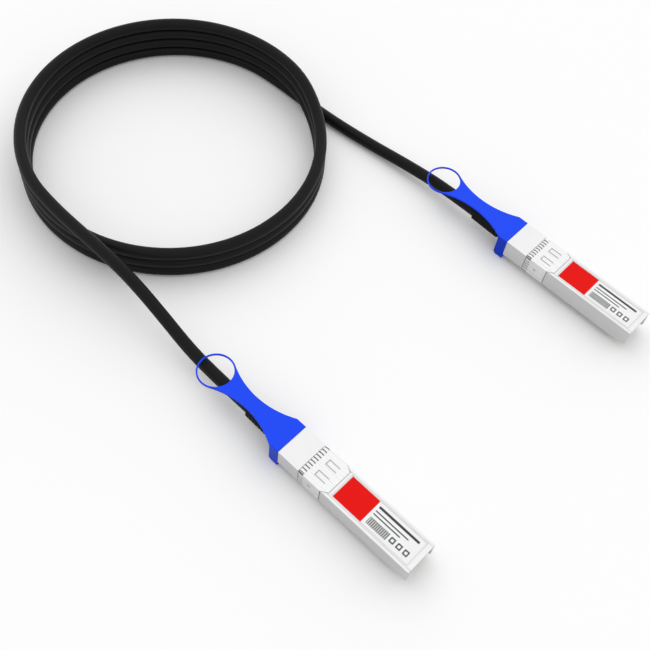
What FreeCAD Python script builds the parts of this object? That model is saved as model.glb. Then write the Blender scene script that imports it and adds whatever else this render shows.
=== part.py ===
"""Direct attach copper cable: one coiled twinaxial cable with a pull-tab plug on each end.

+X runs from the cable to the plugs' noses, +Y is their left side and +Z is up.  The origin is the
middle of the near plug's collar on the surface that the cable lies on.  Each plug is drawn with its
collar's front edge at x = 0 and then moved to its place.  All lengths are in millimetres.
"""
import FreeCAD, Part
import math
import os
import re
import Sketcher

Vector = FreeCAD.Vector

SIZES = {
    # shell
    "shell_width": 13.4, "shell_height": 8.5, "shell_drop": 2.2, "nose_reach": 58.4,
    "side_wall": 1.1, "floor_wall": 1.2, "belly_chamfer": 0.45, "nose_opening": 10.4,
    "nose_ramp": 6.4, "nose_rise": 1.2, "cavity_start": 14.3, "board_ledge": 0.6,
    # lid
    "lid_thickness": 1.0, "lid_gap": 0.03, "lid_step": 0.2, "recess_start": 23.2, "recess_end": 56.6,
    "recess_margin": 0.4, "recess_depth": 0.15, "lid_boss_radius": 1.6, "lid_rail": 0.55,
    "notch_width": 1.4, "notch_length": 0.6, "notch_inset": 1.2, "notch_roof": 0.35,
    # neck of the shell inside the collar, and the cable's way through it
    "neck_length": 4.0, "neck_gap": 0.1, "cable_height": 5.6, "cable_width": 4.8,
    "ferrule_wall": 0.35, "ferrule_start": 0.6, "ferrule_length": 2.6, "wire_room_width": 6.8,
    "wire_room_floor": 4.7, "wire_room_height": 3.2,
    # collar, strap and finger ring of the pull tab
    "collar_width": 13.6, "collar_length": 4.2, "collar_wall": 1.0, "collar_base": 2.1,
    "collar_corner": 1.1, "strap_thickness": 0.7, "strap_drop": 1.0, "strap_waist": 5.8,
    "strap_flare": 33.0, "ring_reach": 37.7, "ring_radius": 7.1, "ring_strand": 0.6,
    "shoulder_gap": 0.05,
    # strain relief
    "relief_width": 6.0, "relief_body_width": 7.0, "relief_body_gap": 0.3, "relief_reach": 19.7,
    "relief_taper": 0.3, "relief_lip": 0.5, "relief_lip_length": 0.9, "relief_notches": 8,
    "relief_notch_pitch": 1.45, "relief_notch_width": 0.7, "relief_notch_depth": 0.6,
    "relief_notch_start": 7.8,
    # circuit board
    "board_start": 17.0, "board_width": 10.8, "card_width": 9.2, "card_start": 45.0,
    "board_setback": 3.2, "board_thickness": 1.0, "board_rise": 2.25, "card_bevel": 0.35,
    "pad_count": 10, "pad_pitch": 0.8, "pad_width": 0.5, "pad_length": 3.4, "pad_setback": 0.5,
    "foil": 0.05, "solder_pad_inset": 0.3, "solder_pad_length": 2.0, "solder_pad_width": 0.8,
    "solder_pad_pitch": 1.3,
    # parts on the board
    "chip_start": 29.0, "chip_length": 4.9, "chip_width": 3.9, "chip_height": 1.4,
    "chip_standoff": 0.15, "lead_width": 0.42, "lead_pitch": 1.27, "lead_reach": 1.0,
    "lead_thickness": 0.2, "lead_drop": 0.25, "capacitor_start": 25.2, "capacitor_length": 1.0,
    "capacitor_width": 0.5,
    # signal pairs
    "pair_width": 1.7, "pair_gap": 0.2, "pair_pitch": 3.4, "pair_end": 15.6, "pair_lift": 0.05,
    "conductor_width": 0.5, "conductor_pitch": 0.9, "conductor_end": 18.6,
    # screws
    "screw_width": 1.2, "screw_head_width": 2.6, "screw_head_height": 0.7, "screw_length": 6.0,
    "screw_slot_width": 0.3, "screw_slot_length": 1.8, "screw_slot_depth": 0.3, "screw_gap": 0.05,
    "rear_screw": 23.4, "front_screw": 40.0, "board_hole_gap": 0.35, "post_radius": 1.9,
    # release slider
    "pull_travel": 2.5, "leg_inner": 3.7, "leg_outer": 5.3, "slider_thickness": 0.4,
    "slider_gap": 0.2, "leg_room": 0.1, "leg_room_depth": 1.1, "bar_start": 6.9, "bar_width": 0.8,
    "prong_inner": 2.3, "prong_outer": 3.5, "prong_end": 15.4, "ramp_start": 12.5, "ramp_rise": 0.58,
    "tab_start": 5.2, "tab_height": 1.5, "stake_width": 0.9, "stake_head": 1.3,
    "stake_head_height": 0.3, "stake_place": 2.1,
    # latch lever on its pin
    "latch_pivot": 8.8, "pivot_rise": 1.2, "pin_width": 0.9, "pin_gap": 0.04, "pin_reach": 4.5,
    "hub_radius": 0.75, "lever_half_width": 1.9, "lever_end": 16.2, "lever_floor_gap": 0.2,
    "lever_thickness": 0.9, "wing_start": 11.2, "wing_length": 1.2, "wing_half_width": 3.4,
    "wing_thickness": 0.3, "lug_shoulder": 13.4, "lug_length": 2.6, "lug_tip": 0.6,
    "lug_half_width": 1.3, "lug_height": 0.45, "well_start": 7.75, "well_end": 17.2,
    "well_half_width": 3.75, "well_depth": 2.15,
    # springs
    "spring_radius": 0.6, "spring_wire": 0.22, "spring_turns": 3.0, "spring_seat": 1.0,
    "leaf_thickness": 0.12, "leaf_half_width": 1.2, "leaf_start": 10.2, "leaf_bend": 12.0,
    "leaf_tip": 15.0,
    # shielding sleeve with its contact fingers
    "sleeve_thickness": 0.15, "sleeve_start": 11.7, "sleeve_end": 19.3, "sleeve_tongue": 21.95,
    "tongue_half_width": 5.15, "finger_length": 2.2, "finger_width": 0.85, "finger_pitch": 1.36,
    "top_fingers": 9, "side_fingers": 5, "finger_rise": 0.25, "finger_room": 0.5,
    "window_start": 14.0, "window_length": 4.85, "window_inner": 1.4, "window_outer": 3.9,
    "window_tab_gap": 0.45, "lug_window_gap": 0.4, "sleeve_gap": 0.25, "seam_depth": 0.4,
    "button_place": 14.6, "button_height": 6.75, "button_width": 0.8, "button_gap": 0.15,
    # label
    "label_gap": 0.5, "label_thickness": 0.1,
    # cable
    "coil_radius": 60.0, "coil_x": -127.2, "coil_y": 61.6, "far_leaves_over": 24.0,
    # places of the plugs
    "near_x": 2.1, "far_x": 1.0, "far_y": 126.8,
}

BOTTOM = "shell_drop"
TOP = "(shell_drop + shell_height)"
HALF = "(shell_width / 2)"
INNER = "(shell_width / 2 - side_wall)"
BOARD_UNDER = "(shell_drop + board_rise)"
BOARD_TOP = "(shell_drop + board_rise + board_thickness)"
SLIDER_UNDER = "(shell_drop + slider_gap)"
SLIDER_TOP = "(shell_drop + slider_gap + slider_thickness)"
PIVOT_HEIGHT = "(shell_drop + pivot_rise)"
LEVER_UNDER = "(shell_drop + lever_floor_gap)"
LEVER_TOP = "(shell_drop + lever_floor_gap + lever_thickness)"
WELL_TOP = "(shell_drop + well_depth)"
SCREW_TOP = "(shell_drop + screw_head_height + screw_length)"
SCREW_PLACES = ("rear_screw", "front_screw")

doc = FreeCAD.newDocument("attach_cable")
sheet = doc.addObject("Spreadsheet::Sheet", "sizes")
for row, (alias, number) in enumerate(SIZES.items(), start=1):
    sheet.set(f"A{row}", alias)
    sheet.set(f"B{row}", str(number))
    sheet.setAlias(f"B{row}", alias)
doc.recompute()

nodes = []


def cells(text):
    """Writes each size's name in an expression as a reference to its cell."""
    return re.sub(r"[a-z_]+", lambda word: f"sizes.{word[0]}" if word[0] in SIZES else word[0], str(text))


def value(text):
    """Works out an expression's number."""
    return float(sheet.evalExpression(cells(text)))


def bind(item, **expressions):
    """Ties properties to expressions; a double underscore stands for a dot."""
    for name, text in expressions.items():
        item.setExpression(name.replace("__", "."), cells(text))
    return item


def keep(item, plug, name):
    """Makes an object a sub-part of a plug: its own label, and the plug's place."""
    item.Label = f"{plug.name}_{name}"
    bind(item, Placement__Base__x=plug.x, Placement__Base__y=plug.y)
    nodes.append(item)
    return item


class Plug:
    """One end of the cable: the name its sub-parts start with, and its place."""

    def __init__(self, name, x, y):
        self.name = name
        self.x = x
        self.y = y


# ---- Part workbench helpers -------------------------------------------------------------------

def box(x0, x1, y0, y1, z0, z1):
    """A box between two corners."""
    item = doc.addObject("Part::Box", "Box")
    bind(item, Length=f"({x1}) - ({x0})", Width=f"({y1}) - ({y0})", Height=f"({z1}) - ({z0})",
         Placement__Base__x=x0, Placement__Base__y=y0, Placement__Base__z=z0)
    return item


def rod(radius, x0, x1, y="0", z="cable_height"):
    """A cylinder along X."""
    item = doc.addObject("Part::Cylinder", "Rod")
    item.Placement.Rotation = FreeCAD.Rotation(Vector(0, 1, 0), 90)
    bind(item, Radius=radius, Height=f"({x1}) - ({x0})",
         Placement__Base__x=x0, Placement__Base__y=y, Placement__Base__z=z)
    return item


def post(radius, x, y, z0, z1):
    """A cylinder along Z."""
    item = doc.addObject("Part::Cylinder", "Post")
    bind(item, Radius=radius, Height=f"({z1}) - ({z0})",
         Placement__Base__x=x, Placement__Base__y=y, Placement__Base__z=z0)
    return item


def fuse(*items):
    """One solid made of several."""
    item = doc.addObject("Part::MultiFuse", "Fuse")
    item.Shapes = list(items)
    item.Refine = True
    return item


def overlap(*items):
    """What several solids share."""
    item = doc.addObject("Part::MultiCommon", "Overlap")
    item.Shapes = list(items)
    item.Refine = True
    return item


def group(*items):
    """Separate solids kept in one sub-part."""
    item = doc.addObject("Part::Compound", "Group")
    item.Links = list(items)
    return item


def cut(base, *tools):
    """A solid less one or more others."""
    item = doc.addObject("Part::Cut", "Cut")
    item.Base = base
    item.Tool = tools[0] if len(tools) == 1 else fuse(*tools)
    item.Refine = True
    return item


# ---- PartDesign helpers -----------------------------------------------------------------------

def new_body():
    """An empty body with its origin planes ready."""
    body = doc.addObject("PartDesign::Body", "Body")
    doc.recompute()
    return body


def new_sketch(body, plane, offset):
    """A sketch parallel to one of the body's origin planes."""
    sketch = body.newObject("Sketcher::SketchObject", "Sketch")
    support = next(item for item in body.Origin.OriginFeatures if item.Role == f"{plane}_Plane")
    sketch.AttachmentSupport = (support, [""])
    sketch.MapMode = "FlatFace"
    bind(sketch, AttachmentOffset__Base__z=offset)
    return sketch


def polygon(sketch, *corners):
    """A closed outline whose corners follow the sheet."""
    first = sketch.GeometryCount
    places = [Vector(value(across), value(up), 0) for across, up in corners]
    for start, end in zip(places, places[1:] + places[:1]):
        sketch.addGeometry(Part.LineSegment(start, end), False)
    for index, (across, up) in enumerate(corners):
        edge = first + index
        following = first + (index + 1) % len(corners)
        sketch.addConstraint(Sketcher.Constraint("Coincident", edge, 2, following, 1))
        for kind, text in (("DistanceX", across), ("DistanceY", up)):
            number = sketch.addConstraint(Sketcher.Constraint(kind, -1, 1, edge, 1, value(text)))
            sketch.setExpression(f"Constraints[{number}]", cells(text))
    return sketch


def rectangle(sketch, x0, x1, y0, y1):
    """A rectangle between two corners."""
    return polygon(sketch, (x0, y0), (x1, y0), (x1, y1), (x0, y1))


def circle(sketch, across, up, radius):
    """A circle whose centre and radius follow the sheet."""
    centre = Vector(value(across), value(up), 0)
    edge = sketch.addGeometry(Part.Circle(centre, Vector(0, 0, 1), value(radius)), False)
    for kind, text in (("DistanceX", across), ("DistanceY", up)):
        number = sketch.addConstraint(Sketcher.Constraint(kind, -1, 1, edge, 3, value(text)))
        sketch.setExpression(f"Constraints[{number}]", cells(text))
    number = sketch.addConstraint(Sketcher.Constraint("Radius", edge, value(radius)))
    sketch.setExpression(f"Constraints[{number}]", cells(radius))
    return sketch


def feature(body, kind, sketch, length):
    """A pad or pocket; a pad grows along the sketch's normal, and a pocket cuts against it."""
    item = body.newObject(f"PartDesign::{kind}", kind)
    item.Profile = sketch
    bind(item, Length=length)
    sketch.Visibility = False
    return item


def pad_box(body, x0, x1, y0, y1, z0, z1):
    """A rectangular pad, sketched in plan."""
    return feature(body, "Pad", rectangle(new_sketch(body, "XY", z0), x0, x1, y0, y1), f"({z1}) - ({z0})")


def pocket_box(body, x0, x1, y0, y1, z0, z1):
    """A rectangular pocket, sketched in plan."""
    sketch = rectangle(new_sketch(body, "XY", z1), x0, x1, y0, y1)
    return feature(body, "Pocket", sketch, f"({z1}) - ({z0})")


def bore(body, radius, x0, x1, y="0", z="cable_height"):
    """A round pocket along X."""
    return feature(body, "Pocket", circle(new_sketch(body, "YZ", x1), y, z, radius), f"({x1}) - ({x0})")


def upright(body, kind, radius, x, z0, z1):
    """A round pad or pocket along Z, on the plug's middle line."""
    level = z0 if kind == "Pad" else z1
    return feature(body, kind, circle(new_sketch(body, "XY", level), x, "0", radius), f"({z1}) - ({z0})")


def side_profile(body, kind, half_width, *corners):
    """A pad or pocket with an outline in the XZ plane, centred across the plug."""
    offset = f"-({half_width})" if kind == "Pad" else half_width
    return feature(body, kind, polygon(new_sketch(body, "XZ", offset), *corners), f"2 * ({half_width})")


def repeat(body, base, axis, pitch, count):
    """A row of one feature, which is the row's first."""
    pattern = body.newObject("PartDesign::LinearPattern", "Row")
    pattern.Originals = [base]
    line = next(item for item in body.Origin.OriginFeatures if item.Role == f"{axis}_Axis")
    pattern.Direction = (line, [""])
    bind(pattern, Length=f"({pitch}) * ({count} - 1)", Occurrences=count)
    body.Tip = pattern
    return pattern


# ---- shell ------------------------------------------------------------------------------------

def housing(plug):
    """The die-cast lower shell: a trough for the board, with the latch well in its belly."""
    body = new_body()
    section = new_sketch(body, "YZ", "0")
    polygon(section, (f"-{HALF}", f"{BOTTOM} + belly_chamfer"), (f"-{HALF} + belly_chamfer", BOTTOM),
            (f"{HALF} - belly_chamfer", BOTTOM), (HALF, f"{BOTTOM} + belly_chamfer"), (HALF, TOP),
            (f"-{HALF}", TOP))
    feature(body, "Pad", section, "nose_reach")
    neck_half = "(collar_width / 2 - collar_wall - neck_gap)"
    pad_box(body, "-neck_length", "0.5", f"-{neck_half}", neck_half, BOTTOM,
            f"{TOP} - collar_wall - neck_gap")
    # board trough, open to the top and at the nose
    pocket_box(body, "cavity_start", "nose_reach + 1", f"-{INNER}", INNER, BOARD_UNDER, f"{TOP} + 1")
    pocket_box(body, "well_end + side_wall", "nose_reach + 1", f"-{INNER} + board_ledge",
               f"{INNER} - board_ledge", f"{BOTTOM} + floor_wall", BOARD_UNDER)
    # belly opening at the nose, with side walls that rise towards the tip
    pocket_box(body, "nose_reach - nose_opening", "nose_reach + 1", f"-{INNER}", INNER,
               f"{BOTTOM} - 1", f"{BOARD_UNDER} + 0.1")
    side_profile(body, "Pocket", f"{HALF} + 1", ("nose_reach - nose_ramp", BOTTOM),
                 ("nose_reach - nose_ramp", f"{BOTTOM} - 1"), ("nose_reach + 1", f"{BOTTOM} - 1"),
                 ("nose_reach + 1", f"{BOTTOM} + nose_rise"), ("nose_reach", f"{BOTTOM} + nose_rise"))
    # way of the cable, its ferrule and its signal pairs
    bore(body, "relief_width / 2", "-neck_length - 1", "ferrule_start")
    bore(body, "relief_width / 2 + relief_lip", "-neck_length / 2", "-neck_length / 2 + relief_lip_length")
    bore(body, "cable_width / 2 + ferrule_wall", "0", "ferrule_start + ferrule_length")
    pocket_box(body, "ferrule_start + ferrule_length - 0.2", "cavity_start + 0.2", "-wire_room_width / 2",
               "wire_room_width / 2", "wire_room_floor", "wire_room_floor + wire_room_height")
    # latch well, slider ways and spring pockets in the belly
    pocket_box(body, "well_start", "well_end", "-well_half_width", "well_half_width",
               f"{BOTTOM} - 1", WELL_TOP)
    pocket_box(body, "bar_start - pull_travel - 0.2", "well_start + 0.1", "-well_half_width",
               "well_half_width", f"{BOTTOM} - 1", f"{SLIDER_TOP} + 0.1")
    for side in ("", "-"):
        low, high = sorted((f"{side}(leg_inner - leg_room)", f"{side}(leg_outer + leg_room)"), key=value)
        pocket_box(body, "-neck_length - 1", "bar_start + bar_width + leg_room", low, high,
                   f"{BOTTOM} - 1", f"{BOTTOM} + leg_room_depth")
        pocket_box(body, "spring_seat", "tab_start + slider_thickness + leg_room", low, high,
                   f"{BOTTOM} - 1", f"{SLIDER_TOP} + tab_height + leg_room")
    # pin hole across the well
    pin_hole = new_sketch(body, "XZ", "pin_reach")
    feature(body, "Pocket", circle(pin_hole, "latch_pivot", PIVOT_HEIGHT, "pin_width / 2"), "2 * pin_reach")
    # seat of the shielding sleeve and the groove under its fingers
    band_end = "(sleeve_end + sleeve_gap)"
    tongue_end = "(sleeve_tongue + sleeve_gap)"
    ring_seat(body, "sleeve_start - finger_length - 0.1", band_end, "sleeve_thickness")
    ring_seat(body, "sleeve_start - finger_length - 0.1", "sleeve_start", "finger_room")
    ring_seat(body, "sleeve_end - 0.1", band_end, "seam_depth")
    tongue = new_sketch(body, "XY", f"{TOP} + 1")
    polygon(tongue, ("sleeve_end - 0.1", f"-{HALF} - 0.5"), (band_end, f"-{HALF} - 0.5"),
            (band_end, f"-{HALF}"), (tongue_end, "-tongue_half_width - 0.05"),
            (tongue_end, "tongue_half_width + 0.05"), (band_end, HALF),
            (band_end, f"{HALF} + 0.5"), ("sleeve_end - 0.1", f"{HALF} + 0.5"))
    feature(body, "Pocket", tongue, "1 + sleeve_thickness")
    # buttons that locate the sleeve
    for face in (f"{HALF} - sleeve_thickness - 0.1", f"-{HALF}"):
        button = circle(new_sketch(body, "XZ", face), "button_place", "button_height", "button_width / 2")
        feature(body, "Pad", button, "sleeve_thickness + 0.1")
    # screw posts and their holes
    for place in SCREW_PLACES:
        upright(body, "Pad", "post_radius", place, f"{BOTTOM} + floor_wall / 2", BOARD_UNDER)
        upright(body, "Pocket", "screw_width / 2 + screw_gap", place, f"{BOTTOM} - 1",
                f"{BOARD_UNDER} + 0.1")
        upright(body, "Pocket", "screw_head_width / 2 + screw_gap", place, f"{BOTTOM} - 1",
                f"{BOTTOM} + screw_head_height")
    return keep(body, plug, "housing")


def ring_seat(body, x0, x1, depth):
    """A shallow band cut all round the shell, following its chamfered section."""
    sketch = new_sketch(body, "YZ", x1)
    reach = "2"
    for grow, sign in ((reach, 1), (f"-({depth})", -1)):
        half = f"({HALF} + ({grow}))"
        low = f"({BOTTOM} - ({grow}))"
        high = f"({TOP} + ({grow}))"
        polygon(sketch, (f"-{half}", f"{low} + belly_chamfer"), (f"-{half} + belly_chamfer", low),
                (f"{half} - belly_chamfer", low), (half, f"{low} + belly_chamfer"), (half, high),
                (f"-{half}", high))
    return feature(body, "Pocket", sketch, f"({x1}) - ({x0})")


def lid(plug):
    """The inset top cover with the label's recess and two screw bosses."""
    body = new_body()
    half = f"({INNER} - lid_gap)"
    pad_box(body, "cavity_start + lid_gap", "nose_reach", f"-{half}", half, f"{TOP} - lid_thickness", TOP)
    # step that the sleeve's top lies on
    pocket_box(body, "cavity_start - 1", "sleeve_tongue + sleeve_gap", f"-{half} - 1", f"{half} + 1",
               f"{TOP} - lid_step", f"{TOP} + 1")
    label_half = f"({half} - recess_margin)"
    pocket_box(body, "recess_start", "recess_end", f"-{label_half}", label_half,
               f"{TOP} - recess_depth", f"{TOP} + 1")
    # rails that bear on the board's edges
    for side in ("", "-"):
        low, high = sorted((f"{side}{half}", f"{side}({half} - lid_rail)"), key=value)
        pad_box(body, "recess_start", "card_start - 1", low, high, BOARD_TOP, f"{TOP} - lid_thickness / 2")
    for place in SCREW_PLACES:
        upright(body, "Pad", "lid_boss_radius", place, BOARD_TOP, f"{TOP} - lid_thickness / 2")
        upright(body, "Pocket", "screw_width / 2", place, f"{BOARD_TOP} - 1", SCREW_TOP)
    # key notch in the nose edge
    pocket_box(body, "nose_reach - notch_length", "nose_reach + 1", f"{half} - notch_inset - notch_width",
               f"{half} - notch_inset", f"{TOP} - lid_thickness - 1", f"{TOP} - notch_roof")
    return keep(body, plug, "lid")


def label(plug):
    """The thin sticker in the lid's recess."""
    half = f"({INNER} - lid_gap - recess_margin - label_gap / 2)"
    sticker = box("recess_start + label_gap", "recess_end - label_gap", f"-{half}", half,
                  f"{TOP} - recess_depth", f"{TOP} - recess_depth + label_thickness")
    return keep(group(sticker), plug, "label")


def screws(plug):
    """Two countersunk screws that hold the lid down from below."""
    items = []
    for place in SCREW_PLACES:
        head = post("screw_head_width / 2", place, "0", BOTTOM, f"{BOTTOM} + screw_head_height")
        shank = post("screw_width / 2", place, "0", f"{BOTTOM} + screw_head_height / 2",
                     f"{SCREW_TOP} - 0.2")
        slot = box(f"{place} - screw_slot_length / 2", f"{place} + screw_slot_length / 2",
                   "-screw_slot_width / 2", "screw_slot_width / 2",
                   f"{BOTTOM} - 0.1", f"{BOTTOM} + screw_slot_depth")
        items.append(cut(fuse(head, shank), slot))
    return keep(group(*items), plug, "lid_screws")


# ---- board and what is on it ------------------------------------------------------------------

def board(plug):
    """The paddle card: wide between the rails, narrow and bevelled at its edge contacts."""
    body = new_body()
    half = "(board_width / 2)"
    card = "(card_width / 2)"
    end = "(nose_reach - board_setback)"
    outline = new_sketch(body, "XY", BOARD_UNDER)
    polygon(outline, ("board_start", f"-{half}"), ("card_start", f"-{half}"), ("card_start", f"-{card}"),
            (f"{end} - 0.4", f"-{card}"), (end, f"-{card} + 0.4"), (end, f"{card} - 0.4"),
            (f"{end} - 0.4", card), ("card_start", card), ("card_start", half), ("board_start", half))
    feature(body, "Pad", outline, "board_thickness")
    for level, inward in ((BOARD_UNDER, "card_bevel"), (BOARD_TOP, "-card_bevel")):
        side_profile(body, "Pocket", f"{half} + 1", (f"{end} - card_bevel", level),
                     (f"{end} + 0.1", level), (f"{end} + 0.1", f"{level} + {inward}"),
                     (end, f"{level} + {inward}"))
    for place in SCREW_PLACES:
        upright(body, "Pocket", "screw_width / 2 + board_hole_gap", place,
                f"{BOARD_UNDER} - 0.1", f"{BOARD_TOP} + 0.1")
    return keep(body, plug, "paddle_board")


def row_places(count, pitch):
    """Places of a centred row, as expressions."""
    return [f"({index} - ({count} - 1) / 2) * {pitch}" for index in range(round(value(count)))]


def line_places(offset):
    """Places of the four signal lines: two about the middle of each pair, as expressions."""
    return [f"({side}pair_pitch / 2 {half} {offset})" for side in ("", "-") for half in ("-", "+")]


def contacts(plug):
    """Gold edge contacts on both faces of the card, and the solder pads at its other end."""
    end = "(nose_reach - board_setback - pad_setback)"
    items = []
    for y in row_places("pad_count", "pad_pitch"):
        for low, high in ((BOARD_TOP, f"{BOARD_TOP} + foil"), (f"{BOARD_UNDER} - foil", BOARD_UNDER)):
            items.append(box(f"{end} - pad_length", end, f"{y} - pad_width / 2", f"{y} + pad_width / 2",
                             low, high))
    start = "(board_start + solder_pad_inset)"
    for y in line_places("solder_pad_pitch / 2"):
        items.append(box(start, f"{start} + solder_pad_length", f"{y} - solder_pad_width / 2",
                         f"{y} + solder_pad_width / 2", BOARD_TOP, f"{BOARD_TOP} + foil"))
    return keep(group(*items), plug, "board_contacts")


def memory_chip(plug):
    """The identity memory: a moulded package on eight bent leads."""
    body = new_body()
    under = f"({BOARD_TOP} + chip_standoff)"
    middle = "(chip_start + chip_length / 2)"
    pad_box(body, "chip_start", "chip_start + chip_length", "-chip_width / 2", "chip_width / 2",
            under, f"{under} + chip_height")
    lead = new_sketch(body, "YZ", f"{middle} - 1.5 * lead_pitch - lead_width / 2")
    root = "(chip_width / 2 - lead_thickness)"
    heel = "(chip_width / 2 + lead_drop)"
    toe = "(chip_width / 2 + lead_reach)"
    out = f"({under} + chip_height / 2)"
    for side in ("", "-"):
        polygon(lead, (f"{side}{root}", f"{out} - lead_thickness"),
                (f"{side}{heel}", f"{out} - lead_thickness"),
                (f"{side}{heel}", BOARD_TOP), (f"{side}{toe}", BOARD_TOP),
                (f"{side}{toe}", f"{BOARD_TOP} + lead_thickness"),
                (f"{side}({heel} + lead_thickness)", f"{BOARD_TOP} + lead_thickness"),
                (f"{side}({heel} + lead_thickness)", out), (f"{side}{root}", out))
    leads = feature(body, "Pad", lead, "lead_width")
    repeat(body, leads, "X", "lead_pitch", "4")
    return keep(body, plug, "memory_chip")


def capacitors(plug):
    """Four coupling capacitors between the solder pads and the card's traces."""
    items = []
    for y in line_places("solder_pad_pitch / 2"):
        items.append(box("capacitor_start", "capacitor_start + capacitor_length",
                         f"{y} - capacitor_width / 2", f"{y} + capacitor_width / 2",
                         BOARD_TOP, f"{BOARD_TOP} + capacitor_width"))
    return keep(group(*items), plug, "coupling_capacitors")


# ---- cable end --------------------------------------------------------------------------------

def strain_relief(plug):
    """The boot: turned about the cable, with a lip in the neck and a row of notches on each side."""
    body = new_body()
    outer = "(relief_width / 2)"
    full = "(relief_body_width / 2)"
    inner = "(cable_width / 2)"
    lip_start = "(-neck_length / 2)"
    body_start = "(-collar_length - pull_travel - relief_body_gap)"
    sketch = new_sketch(body, "XZ", "0")
    polygon(sketch, ("-relief_reach", f"cable_height + {inner}"),
            ("ferrule_start", f"cable_height + {inner}"), ("ferrule_start", f"cable_height + {outer}"),
            (f"{lip_start} + relief_lip_length", f"cable_height + {outer}"),
            (f"{lip_start} + relief_lip_length", f"cable_height + {outer} + relief_lip"),
            (lip_start, f"cable_height + {outer} + relief_lip"), (lip_start, f"cable_height + {outer}"),
            (body_start, f"cable_height + {outer}"), (body_start, f"cable_height + {full}"),
            ("-relief_reach", f"cable_height + {full} - relief_taper"))
    turn(body, sketch)
    notch = new_sketch(body, "XY", f"cable_height + {full}")
    for side in ("", "-"):
        rectangle(notch, "-relief_notch_start - relief_notch_width", "-relief_notch_start",
                  f"{side}({full} - relief_notch_depth)", f"{side}({full} + 1)")
    row = repeat(body, feature(body, "Pocket", notch, "relief_body_width"), "X", "relief_notch_pitch",
                 "relief_notches")
    row.Reversed = True
    return keep(body, plug, "strain_relief")


def turn(body, sketch):
    """A full revolution about the cable's axis."""
    axis = sketch.addGeometry(Part.LineSegment(Vector(-30, value("cable_height"), 0),
                                               Vector(5, value("cable_height"), 0)), True)
    sketch.addConstraint(Sketcher.Constraint("Horizontal", axis))
    for vertex, kind, text in ((1, "DistanceX", "-30"), (1, "DistanceY", "cable_height"),
                               (2, "DistanceX", "5")):
        number = sketch.addConstraint(Sketcher.Constraint(kind, -1, 1, axis, vertex, value(text)))
        sketch.setExpression(f"Constraints[{number}]", cells(text))
    item = body.newObject("PartDesign::Revolution", "Revolution")
    item.Profile = sketch
    item.ReferenceAxis = (sketch, ["Axis0"])
    item.Angle = 360
    return item


def ferrule(plug):
    """The crimp ring round the cable's jacket, held in the shell."""
    outer = rod("cable_width / 2 + ferrule_wall", "ferrule_start", "ferrule_start + ferrule_length")
    inner = rod("cable_width / 2", "ferrule_start - 1", "ferrule_start + ferrule_length + 1")
    return keep(cut(outer, inner), plug, "crimp_ferrule")


def cable_end(plug):
    """The stretch of jacket inside the boot and the ferrule."""
    jacket = rod("cable_width / 2", "-relief_reach", "ferrule_start + ferrule_length")
    return keep(group(jacket), plug, "cable_end")


def signal_pairs(plug):
    """Two foil-wrapped pairs that spread from the jacket's end to the board's solder pads."""
    items = []
    start = "(ferrule_start + ferrule_length)"
    for side in ("", "-"):
        ends = [ring(start, f"{side}(pair_width + pair_gap) / 2", "cable_height"),
                ring("pair_end", f"{side}pair_pitch / 2", f"{BOARD_TOP} + pair_width / 2 + pair_lift")]
        item = doc.addObject("Part::Loft", "Pair")
        item.Sections = ends
        item.Solid = True
        item.Ruled = True
        items.append(item)
    return keep(group(*items), plug, "signal_pairs")


def ring(x, y, z):
    """A circle of a pair's width, facing along X."""
    item = doc.addObject("Part::Circle", "Ring")
    item.Placement.Rotation = FreeCAD.Rotation(Vector(0, 1, 0), 90)
    return bind(item, Radius="pair_width / 2", Placement__Base__x=x, Placement__Base__y=y,
                Placement__Base__z=z)


def conductors(plug):
    """Four bare conductors that reach from the pairs on to their solder pads."""
    radius = "(conductor_width / 2)"
    height = f"{BOARD_TOP} + foil + {radius}"
    items = [rod(radius, "pair_end", "conductor_end", y, height)
             for y in line_places("conductor_pitch / 2")]
    return keep(group(*items), plug, "conductors")


# ---- pull tab ---------------------------------------------------------------------------------

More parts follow.
